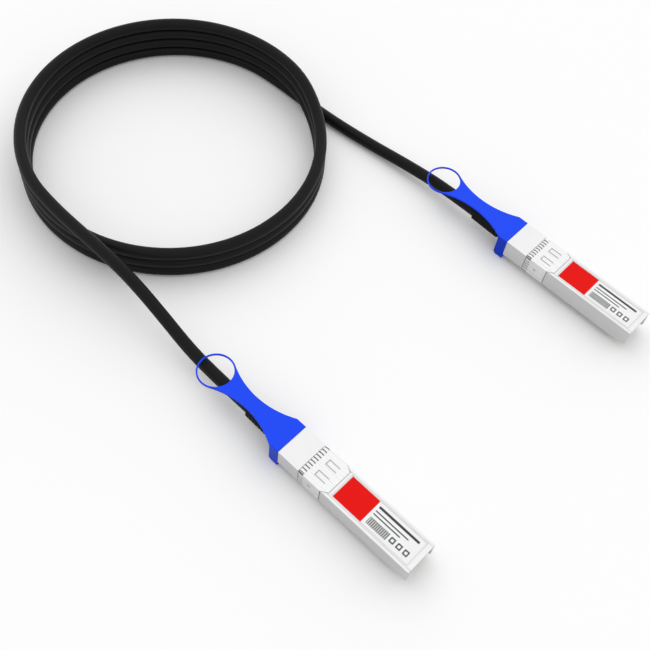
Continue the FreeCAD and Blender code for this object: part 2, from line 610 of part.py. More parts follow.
def pull_tab(plug):
    """The moulded tab: a collar round the neck, a waisted strap and a finger ring."""
    half = "(collar_width / 2)"
    front = "(-shoulder_gap)"
    back = "(-collar_length)"
    collar = new_body()
    side = new_sketch(collar, "XZ", f"-{half}")
    polygon(side, (f"{back} + collar_corner", "0"), (front, "0"), (front, TOP), (back, TOP),
            (back, "collar_corner"))
    feature(collar, "Pad", side, "collar_width")
    pocket_box(collar, f"{back} - 1", "1", f"-{half} + collar_wall", f"{half} - collar_wall",
               "collar_base", f"{TOP} - collar_wall")
    # plan of the strap and its ring, and the sloping sheet that it is cut from
    under = f"({TOP} - strap_thickness)"
    span = (f"{under} - strap_drop - 0.5", f"{TOP} + 0.5")
    wide_span = (f"{under} - strap_drop - 1", f"{TOP} + 1")
    reach = "(strap_flare + ring_radius)"
    waist = f"(-ring_reach + sqrt({reach} ^ 2 - (strap_flare + strap_waist / 2) ^ 2))"
    tangent = f"(-ring_reach + ring_radius * ({waist} + ring_reach) / {reach})"
    strap = box(tangent, f"{back} + 0.5", f"-{half}", half, *span)
    ring = post("ring_radius", "-ring_reach", "0", *span)
    hole = post("ring_radius - ring_strand", "-ring_reach", "0", *wide_span)
    flares = [post("strap_flare", waist, f"{sign}(strap_flare + strap_waist / 2)", *wide_span)
              for sign in ("", "-")]
    plan = cut(fuse(cut(strap, *flares), ring), hole)
    sheet_form = new_body()
    tip = "(-ring_reach - ring_radius - 1)"
    side_profile(sheet_form, "Pad", "ring_radius + 1", (tip, f"{TOP} - strap_drop"),
                 (tip, f"{under} - strap_drop"), (back, under), (f"{back} + 0.2", under),
                 (f"{back} + 0.2", TOP), (back, TOP))
    blade = overlap(plan, sheet_form)
    stakes = []
    for sign in ("", "-"):
        y = f"{sign}(leg_inner + leg_outer) / 2"
        stakes.append(post("stake_head / 2", "-stake_place", y, "collar_base - 0.2", SLIDER_UNDER))
        stakes.append(post("stake_width / 2", "-stake_place", y, "collar_base - 0.2", SLIDER_TOP))
        stakes.append(post("stake_head / 2", "-stake_place", y, SLIDER_TOP,
                           f"{SLIDER_TOP} + stake_head_height"))
    return keep(fuse(collar, blade, *stakes), plug, "pull_tab")


# ---- latch ------------------------------------------------------------------------------------

def slider(plug):
    """The stamped release slider: two legs, a cross bar, and two prongs with lifting ramps."""
    body = new_body()
    bar_end = "(bar_start + bar_width)"
    rear = "(-neck_length + 0.1)"
    left = [(rear, "leg_inner"), (rear, "leg_outer"), (bar_end, "leg_outer"), (bar_end, "prong_outer"),
            ("prong_end", "prong_outer"), ("prong_end", "prong_inner"), (bar_end, "prong_inner")]
    right = [(x, f"-{y}") for x, y in reversed(left)]
    outline = new_sketch(body, "XY", SLIDER_UNDER)
    polygon(outline, *left, *right, ("bar_start", "-leg_inner"), ("bar_start", "leg_inner"))
    feature(body, "Pad", outline, "slider_thickness")
    for side in ("", "-"):
        # bent-up tab that bears on a return spring
        low, high = sorted((f"{side}(leg_inner + 0.1)", f"{side}(leg_outer - 0.1)"), key=value)
        pad_box(body, "tab_start", "tab_start + slider_thickness", low, high,
                f"{SLIDER_TOP} - 0.1", f"{SLIDER_TOP} + tab_height")
        # ramp at the prong's tip
        low, high = sorted((f"{side}prong_inner", f"{side}prong_outer"), key=value)
        ramp = new_sketch(body, "XZ", f"-({high})")
        polygon(ramp, ("ramp_start", f"{SLIDER_TOP} - 0.1"), ("prong_end", f"{SLIDER_TOP} - 0.1"),
                ("prong_end", f"{SLIDER_TOP} + ramp_rise"), ("ramp_start", SLIDER_TOP))
        feature(body, "Pad", ramp, f"({high}) - ({low})")
        # hole for the tab's stake
        hole = circle(new_sketch(body, "XY", f"{SLIDER_TOP} + 0.1"), "-stake_place",
                      f"{side}(leg_inner + leg_outer) / 2", "stake_width / 2")
        feature(body, "Pocket", hole, "slider_thickness + 0.2")
    return keep(body, plug, "release_slider")


def lever(plug):
    """The latch lever: a hub on the pin, two wings over the slider's ramps, and the locking lug."""
    body = new_body()
    side_profile(body, "Pad", "lever_half_width", ("latch_pivot", LEVER_UNDER),
                 ("lever_end", LEVER_UNDER), ("lever_end", f"{LEVER_TOP} - 0.2"),
                 ("lever_end - 0.2", LEVER_TOP), ("latch_pivot", LEVER_TOP))
    hub = circle(new_sketch(body, "XZ", "-lever_half_width"), "latch_pivot", PIVOT_HEIGHT, "hub_radius")
    feature(body, "Pad", hub, "2 * lever_half_width")
    pad_box(body, "wing_start", "wing_start + wing_length", "-wing_half_width", "wing_half_width",
            f"{LEVER_TOP} - wing_thickness", LEVER_TOP)
    tip = f"({BOTTOM} - lug_height)"
    lug_end = "(lug_shoulder + lug_length)"
    side_profile(body, "Pad", "lug_half_width", ("lug_shoulder", f"{LEVER_UNDER} + 0.1"),
                 ("lug_shoulder", tip), ("lug_shoulder + lug_tip", tip), (lug_end, LEVER_UNDER),
                 (lug_end, f"{LEVER_UNDER} + 0.1"))
    hole = circle(new_sketch(body, "XZ", "lever_half_width + 0.1"), "latch_pivot", PIVOT_HEIGHT,
                  "pin_width / 2 + pin_gap")
    feature(body, "Pocket", hole, "2 * lever_half_width + 0.2")
    return keep(body, plug, "latch_lever")


def pin(plug):
    """The lever's pin, pressed into both walls of the well."""
    item = doc.addObject("Part::Cylinder", "Pin")
    item.Placement.Rotation = FreeCAD.Rotation(Vector(1, 0, 0), 90)
    bind(item, Radius="pin_width / 2", Height="2 * pin_reach", Placement__Base__x="latch_pivot",
         Placement__Base__y="pin_reach", Placement__Base__z=PIVOT_HEIGHT)
    return keep(group(item), plug, "latch_pin")


def latch_leaf(plug):
    """The leaf spring between the well's roof and the lever."""
    body = new_body()
    side_profile(body, "Pad", "leaf_half_width", ("leaf_start", WELL_TOP), ("leaf_bend", WELL_TOP),
                 ("leaf_tip", f"{LEVER_TOP} + leaf_thickness"), ("leaf_tip", LEVER_TOP),
                 ("leaf_bend - leaf_thickness / 2", f"{WELL_TOP} - leaf_thickness"),
                 ("leaf_start", f"{WELL_TOP} - leaf_thickness"))
    return keep(body, plug, "latch_leaf")


def return_springs(plug):
    """Two coil springs between the shell and the slider's tabs, wound from square wire."""
    items = []
    start = value("spring_seat")
    length = value("tab_start - spring_seat")
    wire = value("spring_wire")
    radius = value("spring_radius")
    pitch = (length - wire) / value("spring_turns")
    height = value(f"{SLIDER_TOP} + spring_radius + spring_wire / 2 + 0.05")
    for side in (1, -1):
        helix = Part.makeHelix(pitch, length - wire, radius)
        corners = [Vector(radius + across * wire / 2, 0, up * wire / 2)
                   for across, up in ((-1, -1), (1, -1), (1, 1), (-1, 1))]
        section = Part.makePolygon(corners + corners[:1])
        coil = Part.Wire(helix).makePipeShell([section], True, True)
        coil.rotate(Vector(0, 0, 0), Vector(0, 1, 0), 90)
        coil.translate(Vector(start + wire / 2, side * value("(leg_inner + leg_outer) / 2"), height))
        items.append(coil)
    return keep(shape_feature(Part.makeCompound(items)), plug, "return_springs")


# ---- shielding sleeve -------------------------------------------------------------------------

def sleeve(plug):
    """The folded sleeve round the shell: sprung contact fingers, two windows and a front tongue."""
    body = new_body()
    band = new_sketch(body, "YZ", "sleeve_start")
    for inward in ("0", "sleeve_thickness"):
        half = f"({HALF} - {inward})"
        low = f"({BOTTOM} + {inward})"
        high = f"({TOP} - {inward})"
        polygon(band, (f"-{half}", f"{low} + belly_chamfer"), (f"-{half} + belly_chamfer", low),
                (f"{half} - belly_chamfer", low), (half, f"{low} + belly_chamfer"), (half, high),
                (f"-{half}", high))
    feature(body, "Pad", band, "sleeve_end - sleeve_start")
    tongue = new_sketch(body, "XY", f"{TOP} - sleeve_thickness")
    polygon(tongue, ("sleeve_end - 0.2", f"-{HALF}"), ("sleeve_end", f"-{HALF}"),
            ("sleeve_tongue", "-tongue_half_width"), ("sleeve_tongue", "tongue_half_width"),
            ("sleeve_end", HALF), ("sleeve_end - 0.2", HALF))
    feature(body, "Pad", tongue, "sleeve_thickness")
    # windows with a tab left standing in each
    for side in ("", "-"):
        low, high = sorted((f"{side}window_inner", f"{side}window_outer"), key=value)
        window_end = "(window_start + window_length)"
        window = new_sketch(body, "XY", f"{TOP} + 0.1")
        polygon(window, ("window_start", low), (window_end, low), (window_end, f"{low} + window_tab_gap"),
                ("window_start + window_tab_gap", f"{low} + window_tab_gap"),
                ("window_start + window_tab_gap", f"{high} - window_tab_gap"),
                (window_end, f"{high} - window_tab_gap"), (window_end, high), ("window_start", high))
        feature(body, "Pocket", window, "sleeve_thickness + 0.2")
    # holes over the shell's buttons
    hole = circle(new_sketch(body, "XZ", f"{HALF} + 1"), "button_place", "button_height",
                  "button_width / 2 + button_gap")
    feature(body, "Pocket", hole, "shell_width + 2")
    # way for the lug
    pocket_box(body, "lug_shoulder - lug_window_gap", "lug_shoulder + lug_length + lug_window_gap",
               "-lug_half_width - lug_window_gap", "lug_half_width + lug_window_gap",
               f"{BOTTOM} - 0.1", f"{BOTTOM} + sleeve_thickness + 0.05")
    # fingers: arched strips that reach back from the band
    reach = "(sleeve_start - finger_length)"
    top_finger = new_sketch(body, "XZ", "(top_fingers - 1) / 2 * finger_pitch - finger_width / 2")
    finger_outline(top_finger, reach, TOP, "1")
    repeat(body, feature(body, "Pad", top_finger, "finger_width"), "Y", "finger_pitch", "top_fingers")
    middle = f"({TOP} - (shell_height - belly_chamfer) / 2)"
    for side in ("1", "-1"):
        lowest = f"{middle} - (side_fingers - 1) / 2 * finger_pitch - finger_width / 2"
        side_finger = new_sketch(body, "XY", lowest)
        finger_outline(side_finger, reach, f"{side} * {HALF}", side)
        repeat(body, feature(body, "Pad", side_finger, "finger_width"), "Z", "finger_pitch", "side_fingers")
    return keep(body, plug, "shielding_sleeve")


def finger_outline(sketch, reach, face, outward):
    """An arched strip between the band's edge and its own tip, which dips below the face."""
    arch = ((0.0, -0.35), (0.25, 0.55), (0.5, 1.0), (0.75, 0.75), (1.0, 0.0))
    outer = [(f"{reach} + {along} * finger_length", f"{face} + {outward} * {rise} * finger_rise")
             for along, rise in arch]
    inner = [(x, f"{y} - {outward} * sleeve_thickness") for x, y in reversed(outer)]
    return polygon(sketch, *outer, *inner)


# ---- cable ------------------------------------------------------------------------------------

def shape_feature(shape):
    """An object that holds a shape made by Part's own functions."""
    item = doc.addObject("Part::Feature", "Shape")
    item.Shape = shape
    return item


def tube(route, radius):
    """A round tube along straight runs joined by tangent arcs."""
    edges = []
    start = route[0]
    for before, point, after in zip(route, route[1:], route[2:]):
        arriving = (point - before).normalize()
        leaving = (after - point).normalize()
        half_turn = arriving.getAngle(leaving) / 2
        setback = 0.45 * min((point - before).Length, (after - point).Length)
        bend_radius = setback / math.tan(half_turn)
        arc_start = point - arriving * setback
        arc_end = point + leaving * setback
        inward = (leaving - arriving).normalize()
        middle = point + inward * (bend_radius / math.cos(half_turn) - bend_radius)
        print(f"bend radius {bend_radius:.1f} mm")
        edges.append(Part.LineSegment(start, arc_start).toShape())
        edges.append(Part.Arc(arc_start, middle, arc_end).toShape())
        start = arc_end
    edges.append(Part.LineSegment(start, route[-1]).toShape())
    path = Part.Wire(edges)
    direction = (route[1] - route[0]).normalize()
    section = Part.Wire(Part.Circle(route[0], direction, radius).toShape())
    solid = path.makePipeShell([section], True, False)
    print(f"tube volume {solid.Volume:.1f}, section times length {math.pi * radius ** 2 * path.Length:.1f}")
    return solid


# The near tail rises from the plug over the coil's lower turns to its top layer.
NEAR_ROUTE = [(-17.6, 0.0, 5.6), (-33.0, 0.0, 5.6), (-49.0, 0.35, 6.2), (-65.0, 1.15, 11.2),
              (-81.0, 1.7, 15.6), (-96.0, 1.75, 17.0), (-111.5, 1.6, 16.8), (-127.2, 1.6, 16.8)]
# The far tail leaves the bottom layer and lies on the surface up to the far plug.
FAR_ROUTE = [(-127.2, 121.6, 2.4), (-110.0, 121.6, 2.4), (-92.0, 122.4, 2.4), (-73.0, 124.5, 2.5),
             (-54.0, 126.3, 3.9), (-35.5, 126.8, 5.6), (-18.7, 126.8, 5.6)]


def tails():
    """Tubes along the two stretches of cable that aren't coiled."""
    radius = value("cable_width / 2")
    for name, route in (("near_tail", NEAR_ROUTE), ("far_tail", FAR_ROUTE)):
        item = shape_feature(tube([Vector(*point) for point in route], radius))
        item.Label = name
        nodes.append(item)


def coil():
    """The outer form of the coiled cable: four layers on one side and three on the other."""
    top_half = turned_stack("0", "4 * cable_width", "90", "180")
    bridge = turned_stack("cable_width", "4 * cable_width", "90 - far_leaves_over", "far_leaves_over")
    low_half = turned_stack("0", "3 * cable_width", "-90", "180 - far_leaves_over")
    item = fuse(top_half, bridge, low_half)
    item.Label = "cable_coil"
    bind(item, Placement__Base__x="coil_x", Placement__Base__y="coil_y")
    nodes.append(item)


def turned_stack(low, high, start, sweep):
    """The section of some stacked turns, with flats for its round ends, turned about the coil's axis."""
    angle = math.radians(value(start))
    across = Vector(math.cos(angle), math.sin(angle), 0)
    lift = Vector(0, 0, 1)
    radius = value("cable_width / 2")
    middle = value("coil_radius")
    shoulder = radius * math.tan(math.pi / 8)
    corners = []
    for level, side in ((value(low), 1), (value(high), -1)):
        half = [(-radius, level + side * (radius - shoulder)), (-shoulder, level),
                (shoulder, level), (radius, level + side * (radius - shoulder))]
        corners += half if side > 0 else half[::-1]
    points = [across * (middle + out) + lift * up for out, up in corners]
    face = Part.Face(Part.makePolygon(points + points[:1]))
    return shape_feature(face.revolve(Vector(0, 0, 0), lift, value(sweep)))


# ---- build ------------------------------------------------------------------------------------

PLUG_PARTS = (housing, lid, label, screws, board, contacts, memory_chip, capacitors, strain_relief,
              ferrule, cable_end, signal_pairs, conductors, pull_tab, slider, lever, pin, latch_leaf,
              return_springs, sleeve)

for end in (Plug("near", "near_x", "0"), Plug("far", "far_x", "far_y")):
    for build in PLUG_PARTS:
        build(end)
tails()
coil()
doc.recompute()

for item in doc.Objects:
    if "Invalid" in item.State or "Error" in item.State:
        raise RuntimeError(f"{item.Label} failed: {item.State}")
for item in nodes:
    if item.Shape.isNull() or not item.Shape.isValid():
        raise RuntimeError(f"{item.Label} has no valid shape")

os.makedirs("parts", exist_ok=True)
for item in nodes:
    item.Shape.exportStep(f"parts/{item.Label}.step")
print(f"{len(nodes)} sub-parts written")
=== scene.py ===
"""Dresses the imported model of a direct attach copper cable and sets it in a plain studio.

All lengths are in metres in the row frame: +X runs from the cable to the plugs' noses, +Y is their
left side and +Z is up from the surface that the cable lies on.
"""

import logging
import math
from collections.abc import Mapping, Sequence
from dataclasses import dataclass, replace
from enum import Enum
from functools import cache
from typing import Any

import bmesh
import bpy
import numpy as np
from mathutils import Matrix, Vector


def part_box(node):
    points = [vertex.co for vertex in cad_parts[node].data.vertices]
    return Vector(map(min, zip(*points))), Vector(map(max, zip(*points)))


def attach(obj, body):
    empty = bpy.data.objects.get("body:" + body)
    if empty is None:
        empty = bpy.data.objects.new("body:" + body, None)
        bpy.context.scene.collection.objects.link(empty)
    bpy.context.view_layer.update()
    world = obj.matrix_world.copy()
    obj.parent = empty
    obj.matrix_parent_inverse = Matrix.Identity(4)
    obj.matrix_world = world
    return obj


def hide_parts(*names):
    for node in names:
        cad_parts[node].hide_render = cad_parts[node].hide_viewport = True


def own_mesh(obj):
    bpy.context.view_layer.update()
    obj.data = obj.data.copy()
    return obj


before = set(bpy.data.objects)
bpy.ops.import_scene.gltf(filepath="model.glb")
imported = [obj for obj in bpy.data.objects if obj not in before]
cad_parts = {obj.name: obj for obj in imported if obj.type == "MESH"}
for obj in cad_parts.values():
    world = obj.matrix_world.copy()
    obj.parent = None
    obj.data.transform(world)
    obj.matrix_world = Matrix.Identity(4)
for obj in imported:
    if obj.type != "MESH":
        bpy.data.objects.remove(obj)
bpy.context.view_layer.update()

log = logging.getLogger("attach_cable")

MM = 0.001

# On a merged copy, corners within WELD are one and faces that turn less than FLAT are one face.
# An edge that turns more than CRISP is rounded, and one that turns more than SHARP is not shaded
# smooth.
WELD = 0.001 * MM
FLAT = math.radians(1)
CRISP = math.radians(30)
SHARP = math.radians(35)

# Noise goes from 0 to 1 about this value.
NOISE_MEAN = 0.5

# A Mix node's sockets for the factor and the two colours, and its colour output.
MIX_INPUTS = (0, 6, 7)
MIX_OUTPUT = 2

WHITE = (1.0, 1.0, 1.0)

# Angles in degrees: the front is the direction of -Y.
TURN = 360.0
HALF_TURN = 180.0
FRONT = -90.0

Point = tuple[float, float, float]
Colour = tuple[float, float, float]
Span = tuple[float, float]
Block = tuple[float, float, float, float]
Array = np.ndarray
Operand = "Wire | float"


# ---- shader graphs ----------------------------------------------------------------------------

class Wire:
    """An output socket that takes part in Python arithmetic: each operator adds a Math node."""

    def __init__(self, graph: "Graph", socket: bpy.types.NodeSocket) -> None:
        """Wraps a socket of a graph."""
        self.graph = graph
        self.socket = socket

    def math(self, operation: str, *values: Operand) -> "Wire":
        """Adds a Math node with that operation on those values."""
        inputs = dict(enumerate(values))
        return self.graph.node("ShaderNodeMath", {"operation": operation}, inputs)

    def __add__(self, other: Operand) -> "Wire":
        """Sum."""
        return self.math("ADD", self, other)

    def __radd__(self, other: Operand) -> "Wire":
        """Sum with a number on the left."""
        return self.math("ADD", other, self)

    def __sub__(self, other: Operand) -> "Wire":
        """Difference."""
        return self.math("SUBTRACT", self, other)

    def __rsub__(self, other: Operand) -> "Wire":
        """Difference from a number on the left."""
        return self.math("SUBTRACT", other, self)

    def __mul__(self, other: Operand) -> "Wire":
        """Product."""
        return self.math("MULTIPLY", self, other)

    def __rmul__(self, other: Operand) -> "Wire":
        """Product with a number on the left."""
        return self.math("MULTIPLY", other, self)

    def __truediv__(self, other: Operand) -> "Wire":
        """Quotient."""
        return self.math("DIVIDE", self, other)

    def __rtruediv__(self, other: Operand) -> "Wire":
        """Quotient of a number on the left."""
        return self.math("DIVIDE", other, self)

    def __mod__(self, other: Operand) -> "Wire":
        """Remainder from 0 up."""
        return self.math("FLOORED_MODULO", self, other)

    def __rmod__(self, other: Operand) -> "Wire":
        """Remainder of a number on the left."""
        return self.math("FLOORED_MODULO", other, self)

    def __abs__(self) -> "Wire":
        """Absolute value."""
        return self.math("ABSOLUTE", self)

    def above(self, limit: Operand) -> "Wire":
        """1 where the value is over the limit, and 0 elsewhere."""
        return self.math("GREATER_THAN", self, limit)

    def below(self, limit: Operand) -> "Wire":
        """1 where the value is under the limit, and 0 elsewhere."""
        return self.math("LESS_THAN", self, limit)

    def between(self, low: float, high: float) -> "Wire":
        """1 where the value lies between two limits."""
        return self.above(low) * self.below(high)

    def either(self, other: Operand) -> "Wire":
        """The larger of two masks."""
        return self.math("MAXIMUM", self, other)


class Graph:
    """A node tree of a material or of the world, filled in by expressions."""

    def __init__(self, tree: bpy.types.NodeTree) -> None:
        """Empties the tree."""
        self.tree = tree
        tree.nodes.clear()

    @classmethod
    def of_material(cls, name: str) -> "tuple[bpy.types.Material, Graph]":
        """Starts a material.

        Args:
            name: The material's name.

        Returns:
            The new material and its graph.
        """
        material = bpy.data.materials.new(name)
        material.use_nodes = True
        return material, cls(material.node_tree)

    def node(self, kind: str, settings: Mapping[str, Any] | None = None,
             inputs: Mapping[str | int, Any] | None = None, output: str | int = 0) -> Wire:
        """Adds any node.

        Args:
            kind: The node's type.
            settings: Its properties, which are set before its sockets.
            inputs: A value or a wire for each named or numbered socket.
            output: The socket that is handed back.

        Returns:
            That output.
        """
        made = self.tree.nodes.new(kind)
        for name, value in (settings or {}).items():
            setattr(made, name, value)
        for name, value in (inputs or {}).items():
            if isinstance(value, Wire):
                self.tree.links.new(value.socket, made.inputs[name])
            else:
                made.inputs[name].default_value = value
        return Wire(self, made.outputs[output] if len(made.outputs) else None)

    def place(self) -> Wire:
        """The object's own coordinates, which are the row frame's."""
        return self.node("ShaderNodeTexCoord", output="Object")

    def axes(self, place: Wire) -> tuple[Wire, Wire, Wire]:
        """Takes a place apart.

        Args:
            place: The place.

        Returns:
            Its three coordinates.
        """
        first = self.node("ShaderNodeSeparateXYZ", inputs={0: place})
        sockets = first.socket.node.outputs
        return Wire(self, sockets[0]), Wire(self, sockets[1]), Wire(self, sockets[2])

    def stretched(self, place: Wire, scale: Point) -> Wire:
        """A place with each axis scaled, as for grain that runs one way."""
        return self.node("ShaderNodeVectorMath", {"operation": "MULTIPLY"}, {0: place, 1: scale})

    def noise(self, place: Wire, scale: float = 1.0, detail: float = 3.0) -> Wire:
        """Smooth noise between 0 and 1, with that many features to the unit."""
        inputs = {"Vector": place, "Scale": scale, "Detail": detail}
        return self.node("ShaderNodeTexNoise", inputs=inputs)

    def blend(self, factor: Operand, first: Any, second: Any) -> Wire:
        """One colour turning into another."""
        inputs = dict(zip(MIX_INPUTS, (factor, first, second)))
        return self.node("ShaderNodeMix", {"data_type": "RGBA"}, inputs, MIX_OUTPUT)

    def bump(self, height: Wire, strength: float, depth: float) -> Wire:
        """A bumped normal.

        Args:
            height: The height from 0 to 1.
            strength: How much of it shows.
            depth: The height of 1, in metres.

        Returns:
            The normal.
        """
        inputs = {"Strength": strength, "Distance": depth, "Height": height}
        return self.node("ShaderNodeBump", inputs=inputs)

    def diffuse(self, tone: float) -> Wire:
        """A matt grey shader."""
        return self.node("ShaderNodeBsdfDiffuse", inputs={"Color": opaque((tone,) * 3)})

    def principled(self, inputs: Mapping[str, Any]) -> None:
        """Ends the graph in a Principled shader."""
        shader = self.node("ShaderNodeBsdfPrincipled", inputs=inputs)
        self.node("ShaderNodeOutputMaterial", inputs={"Surface": shader})


def opaque(colour: Colour) -> tuple[float, float, float, float]:
    """A colour with full alpha."""
    return (*colour, 1.0)


def shade(colour: Colour, share: float) -> Colour:
    """A colour made lighter or darker."""
    return tuple(min(1.0, part * share) for part in colour)


# ---- finishes ---------------------------------------------------------------------------------

@dataclass(frozen=True)
class Finish:
    """What every finish has: a name, a colour and a gloss."""

    name: str
    colour: Colour
    roughness: float = 0.5
    metallic: float = 0.0
    specular: float = 0.5

    def varied(self, graph: Graph) -> dict[str, Wire]:
        """The sockets that change over the surface: none here."""
        return {}

    def swung(self, noise: Wire, span: float) -> Wire:
        """The roughness, which goes up by that span as the noise goes from 0 to 1."""
        return self.roughness + span * (noise - NOISE_MEAN)

    def tones(self, graph: Graph, factor: Wire, span: Span) -> Wire:
        """The colour, turning from one share of itself into another."""
        low, high = (opaque(shade(self.colour, share)) for share in span)
        return graph.blend(factor, low, high)

    def material(self) -> bpy.types.Material:
        """Builds the material.

        Returns:
            A material with the finish's plain values, and its varied ones over them.
        """
        material, graph = Graph.of_material(self.name)
        plain = {"Base Color": opaque(self.colour), "Roughness": self.roughness,
                 "Metallic": self.metallic, "Specular IOR Level": self.specular}
        graph.principled({**plain, **self.varied(graph)})
        return material


@dataclass(frozen=True)
class SeamedMetal(Finish):
    """Metal with painted shade in its seams and slots, where other metal closes over the surface."""

    # Painted shade in the seams: the share of the colour left at full shade, and how strongly
    # occlusion darkens it.
    painted_shade_tone: float = 0.32
    painted_shade_gain: float = 1.15
    seam_reach: float = 0.8 * MM
    seam_samples: int = 8

    def paint_seam_shade(self, graph: Graph, tone: Wire) -> Wire:
        """Paints shade into a tone in the seams.

        Args:
            graph: The material's graph.
            tone: The open surface's colour.

        Returns:
            The colour with painted shade, darker the more of the half-sphere over a point other
            metal fills within the seam's reach.
        """
        # Ambient occlusion darkens the base colour: painted shade in the seams and slots.
        open_share = graph.node("ShaderNodeAmbientOcclusion", {"samples": self.seam_samples},
                                {"Distance": self.seam_reach}, "AO")
        dark = opaque(shade(self.colour, self.painted_shade_tone))
        return graph.blend(self.painted_shade_gain * (1 - open_share), tone, dark)


@dataclass(frozen=True)
class CastMetal(SeamedMetal):
    """Plated casting: a fine orange-peel grain, with cloudy changes of gloss."""

    clouds: float = 140.0
    cloud_tones: Span = (0.96, 1.03)
    cloud_gloss: float = 0.12
    grain: float = 1800.0
    strength: float = 0.35
    depth: float = 0.006 * MM

    def varied(self, graph: Graph) -> dict[str, Wire]:
        """Grain in the normal, clouds in the gloss and the tone, and painted shade in the seams.

        Args:
            graph: The material's graph.

        Returns:
            The wire of each socket that varies.
        """
        place = graph.place()
        clouds = graph.noise(place, self.clouds)
        tone = self.tones(graph, clouds, self.cloud_tones)
        # The base colour carries painted shade in the seams.
        return {"Base Color": self.paint_seam_shade(graph, tone),
                "Roughness": self.swung(clouds, self.cloud_gloss),
                "Normal": graph.bump(graph.noise(place, self.grain), self.strength, self.depth)}


@dataclass(frozen=True)
class RolledMetal(SeamedMetal):
    """Stamped strip: fine rolling lines along the plug."""

    lines: Point = (60.0, 5200.0, 5200.0)
    line_detail: float = 4.0
    line_tones: Span = (0.92, 1.05)
    line_gloss: float = 0.2
    strength: float = 0.4
    depth: float = 0.004 * MM

    def varied(self, graph: Graph) -> dict[str, Wire]:
        """Streaks in the normal, the gloss and the tone, and painted shade in the seams.

        Args:
            graph: The material's graph.

        Returns:
            The wire of each socket that varies.
        """
        place = graph.stretched(graph.place(), self.lines)
        streaks = graph.noise(place, detail=self.line_detail)
        tone = self.tones(graph, streaks, self.line_tones)
        # The base colour carries painted shade in the seams.
        return {"Base Color": self.paint_seam_shade(graph, tone),
                "Roughness": self.swung(streaks, self.line_gloss),
                "Normal": graph.bump(streaks, self.strength, self.depth)}


@dataclass(frozen=True)
class MouldedPlastic(Finish):
    """Moulded plastic: a spark-eroded grain and a faint unevenness of colour."""

    unevenness: float = 0.06
    clouds: float = 90.0
    cloud_gloss: float = 0.1
    grain: float = 3200.0
    grain_detail: float = 2.0
    grain_gloss: float = 0.06
    strength: float = 0.5
    depth: float = 0.010 * MM

    def varied(self, graph: Graph) -> dict[str, Wire]:
        """Grain in the normal, slow changes in colour and gloss.

        Args:
            graph: The material's graph.

        Returns:
            The wire of each socket that varies.
        """
        place = graph.place()
        clouds = graph.noise(place, self.clouds)
        grain = graph.noise(place, self.grain, self.grain_detail)
        gloss = self.swung(clouds, self.cloud_gloss) + self.grain_gloss * (grain - NOISE_MEAN)
        span = (1 - self.unevenness, 1 + self.unevenness)
        return {"Base Color": self.tones(graph, clouds, span), "Roughness": gloss,
                "Normal": graph.bump(grain, self.strength, self.depth)}


@dataclass(frozen=True)
class ExtrudedJacket(Finish):
    """Extruded cable jacket: a dull grain, with scuffed patches that take a little more light."""

    scuffs: float = 55.0
    scuff_detail: float = 5.0
    scuff_tones: Span = (0.8, 1.35)
    scuff_gloss: float = 0.16
    grain: float = 2600.0
    grain_detail: float = 2.0
    strength: float = 0.45
    depth: float = 0.012 * MM

    def varied(self, graph: Graph) -> dict[str, Wire]:
        """Grain in the normal, scuffs in colour and gloss.

        Args:
            graph: The material's graph.

        Returns:
            The wire of each socket that varies.
        """
        place = graph.place()
        scuffs = graph.noise(place, self.scuffs, self.scuff_detail)
        grain = graph.noise(place, self.grain, self.grain_detail)
        return {"Base Color": self.tones(graph, scuffs, self.scuff_tones),
                "Roughness": self.swung(scuffs, self.scuff_gloss),
                "Normal": graph.bump(grain, self.strength, self.depth)}


@dataclass(frozen=True)
class CrinkledFoil(Finish):
    """Foil wrapped on the bias: soft wrinkles that run round it."""

    wrinkles: Point = (1400.0, 500.0, 500.0)
    wrinkle_detail: float = 5.0
    strength: float = 0.6
    depth: float = 0.05 * MM

    def varied(self, graph: Graph) -> dict[str, Wire]:
        """Wrinkles in the normal.

        Args:
            graph: The material's graph.

        Returns:
            The wire of each socket that varies.
        """
        place = graph.stretched(graph.place(), self.wrinkles)
        height = graph.noise(place, detail=self.wrinkle_detail)
        return {"Normal": graph.bump(height, self.strength, self.depth)}


@dataclass(frozen=True)
class GoldPlate(Finish):
    """Contact gold: bright, with dull rub marks along the way that it slides."""

    rubs: Point = (400.0, 9000.0, 9000.0)
    rub_level: float = 0.58
    rub_gloss: float = 0.25

    def varied(self, graph: Graph) -> dict[str, Wire]:
        """Rub marks in the gloss."""
        rubs = graph.noise(graph.stretched(graph.place(), self.rubs))
        return {"Roughness": self.roughness + self.rub_gloss * rubs.above(self.rub_level)}


@dataclass(frozen=True)
class EndCappedCeramic(Finish):
    """Chip capacitors: a fired body between two tinned ends."""

    low: float = 0.0
    high: float = 0.0
    cap: float = 0.25 * MM
    tin: Colour = (0.78, 0.77, 0.75)
    tin_gloss: float = 0.25

    def varied(self, graph: Graph) -> dict[str, Wire]:
        """The ends by their place along the plug.

        Args:
            graph: The material's graph.

        Returns:
            The wire of each socket that varies.
        """
        along = graph.axes(graph.place())[0]
        ends = along.below(self.low + self.cap).either(along.above(self.high - self.cap))
        return {"Base Color": graph.blend(ends, opaque(self.colour), opaque(self.tin)),
                "Metallic": ends, "Roughness": self.roughness - self.tin_gloss * ends}


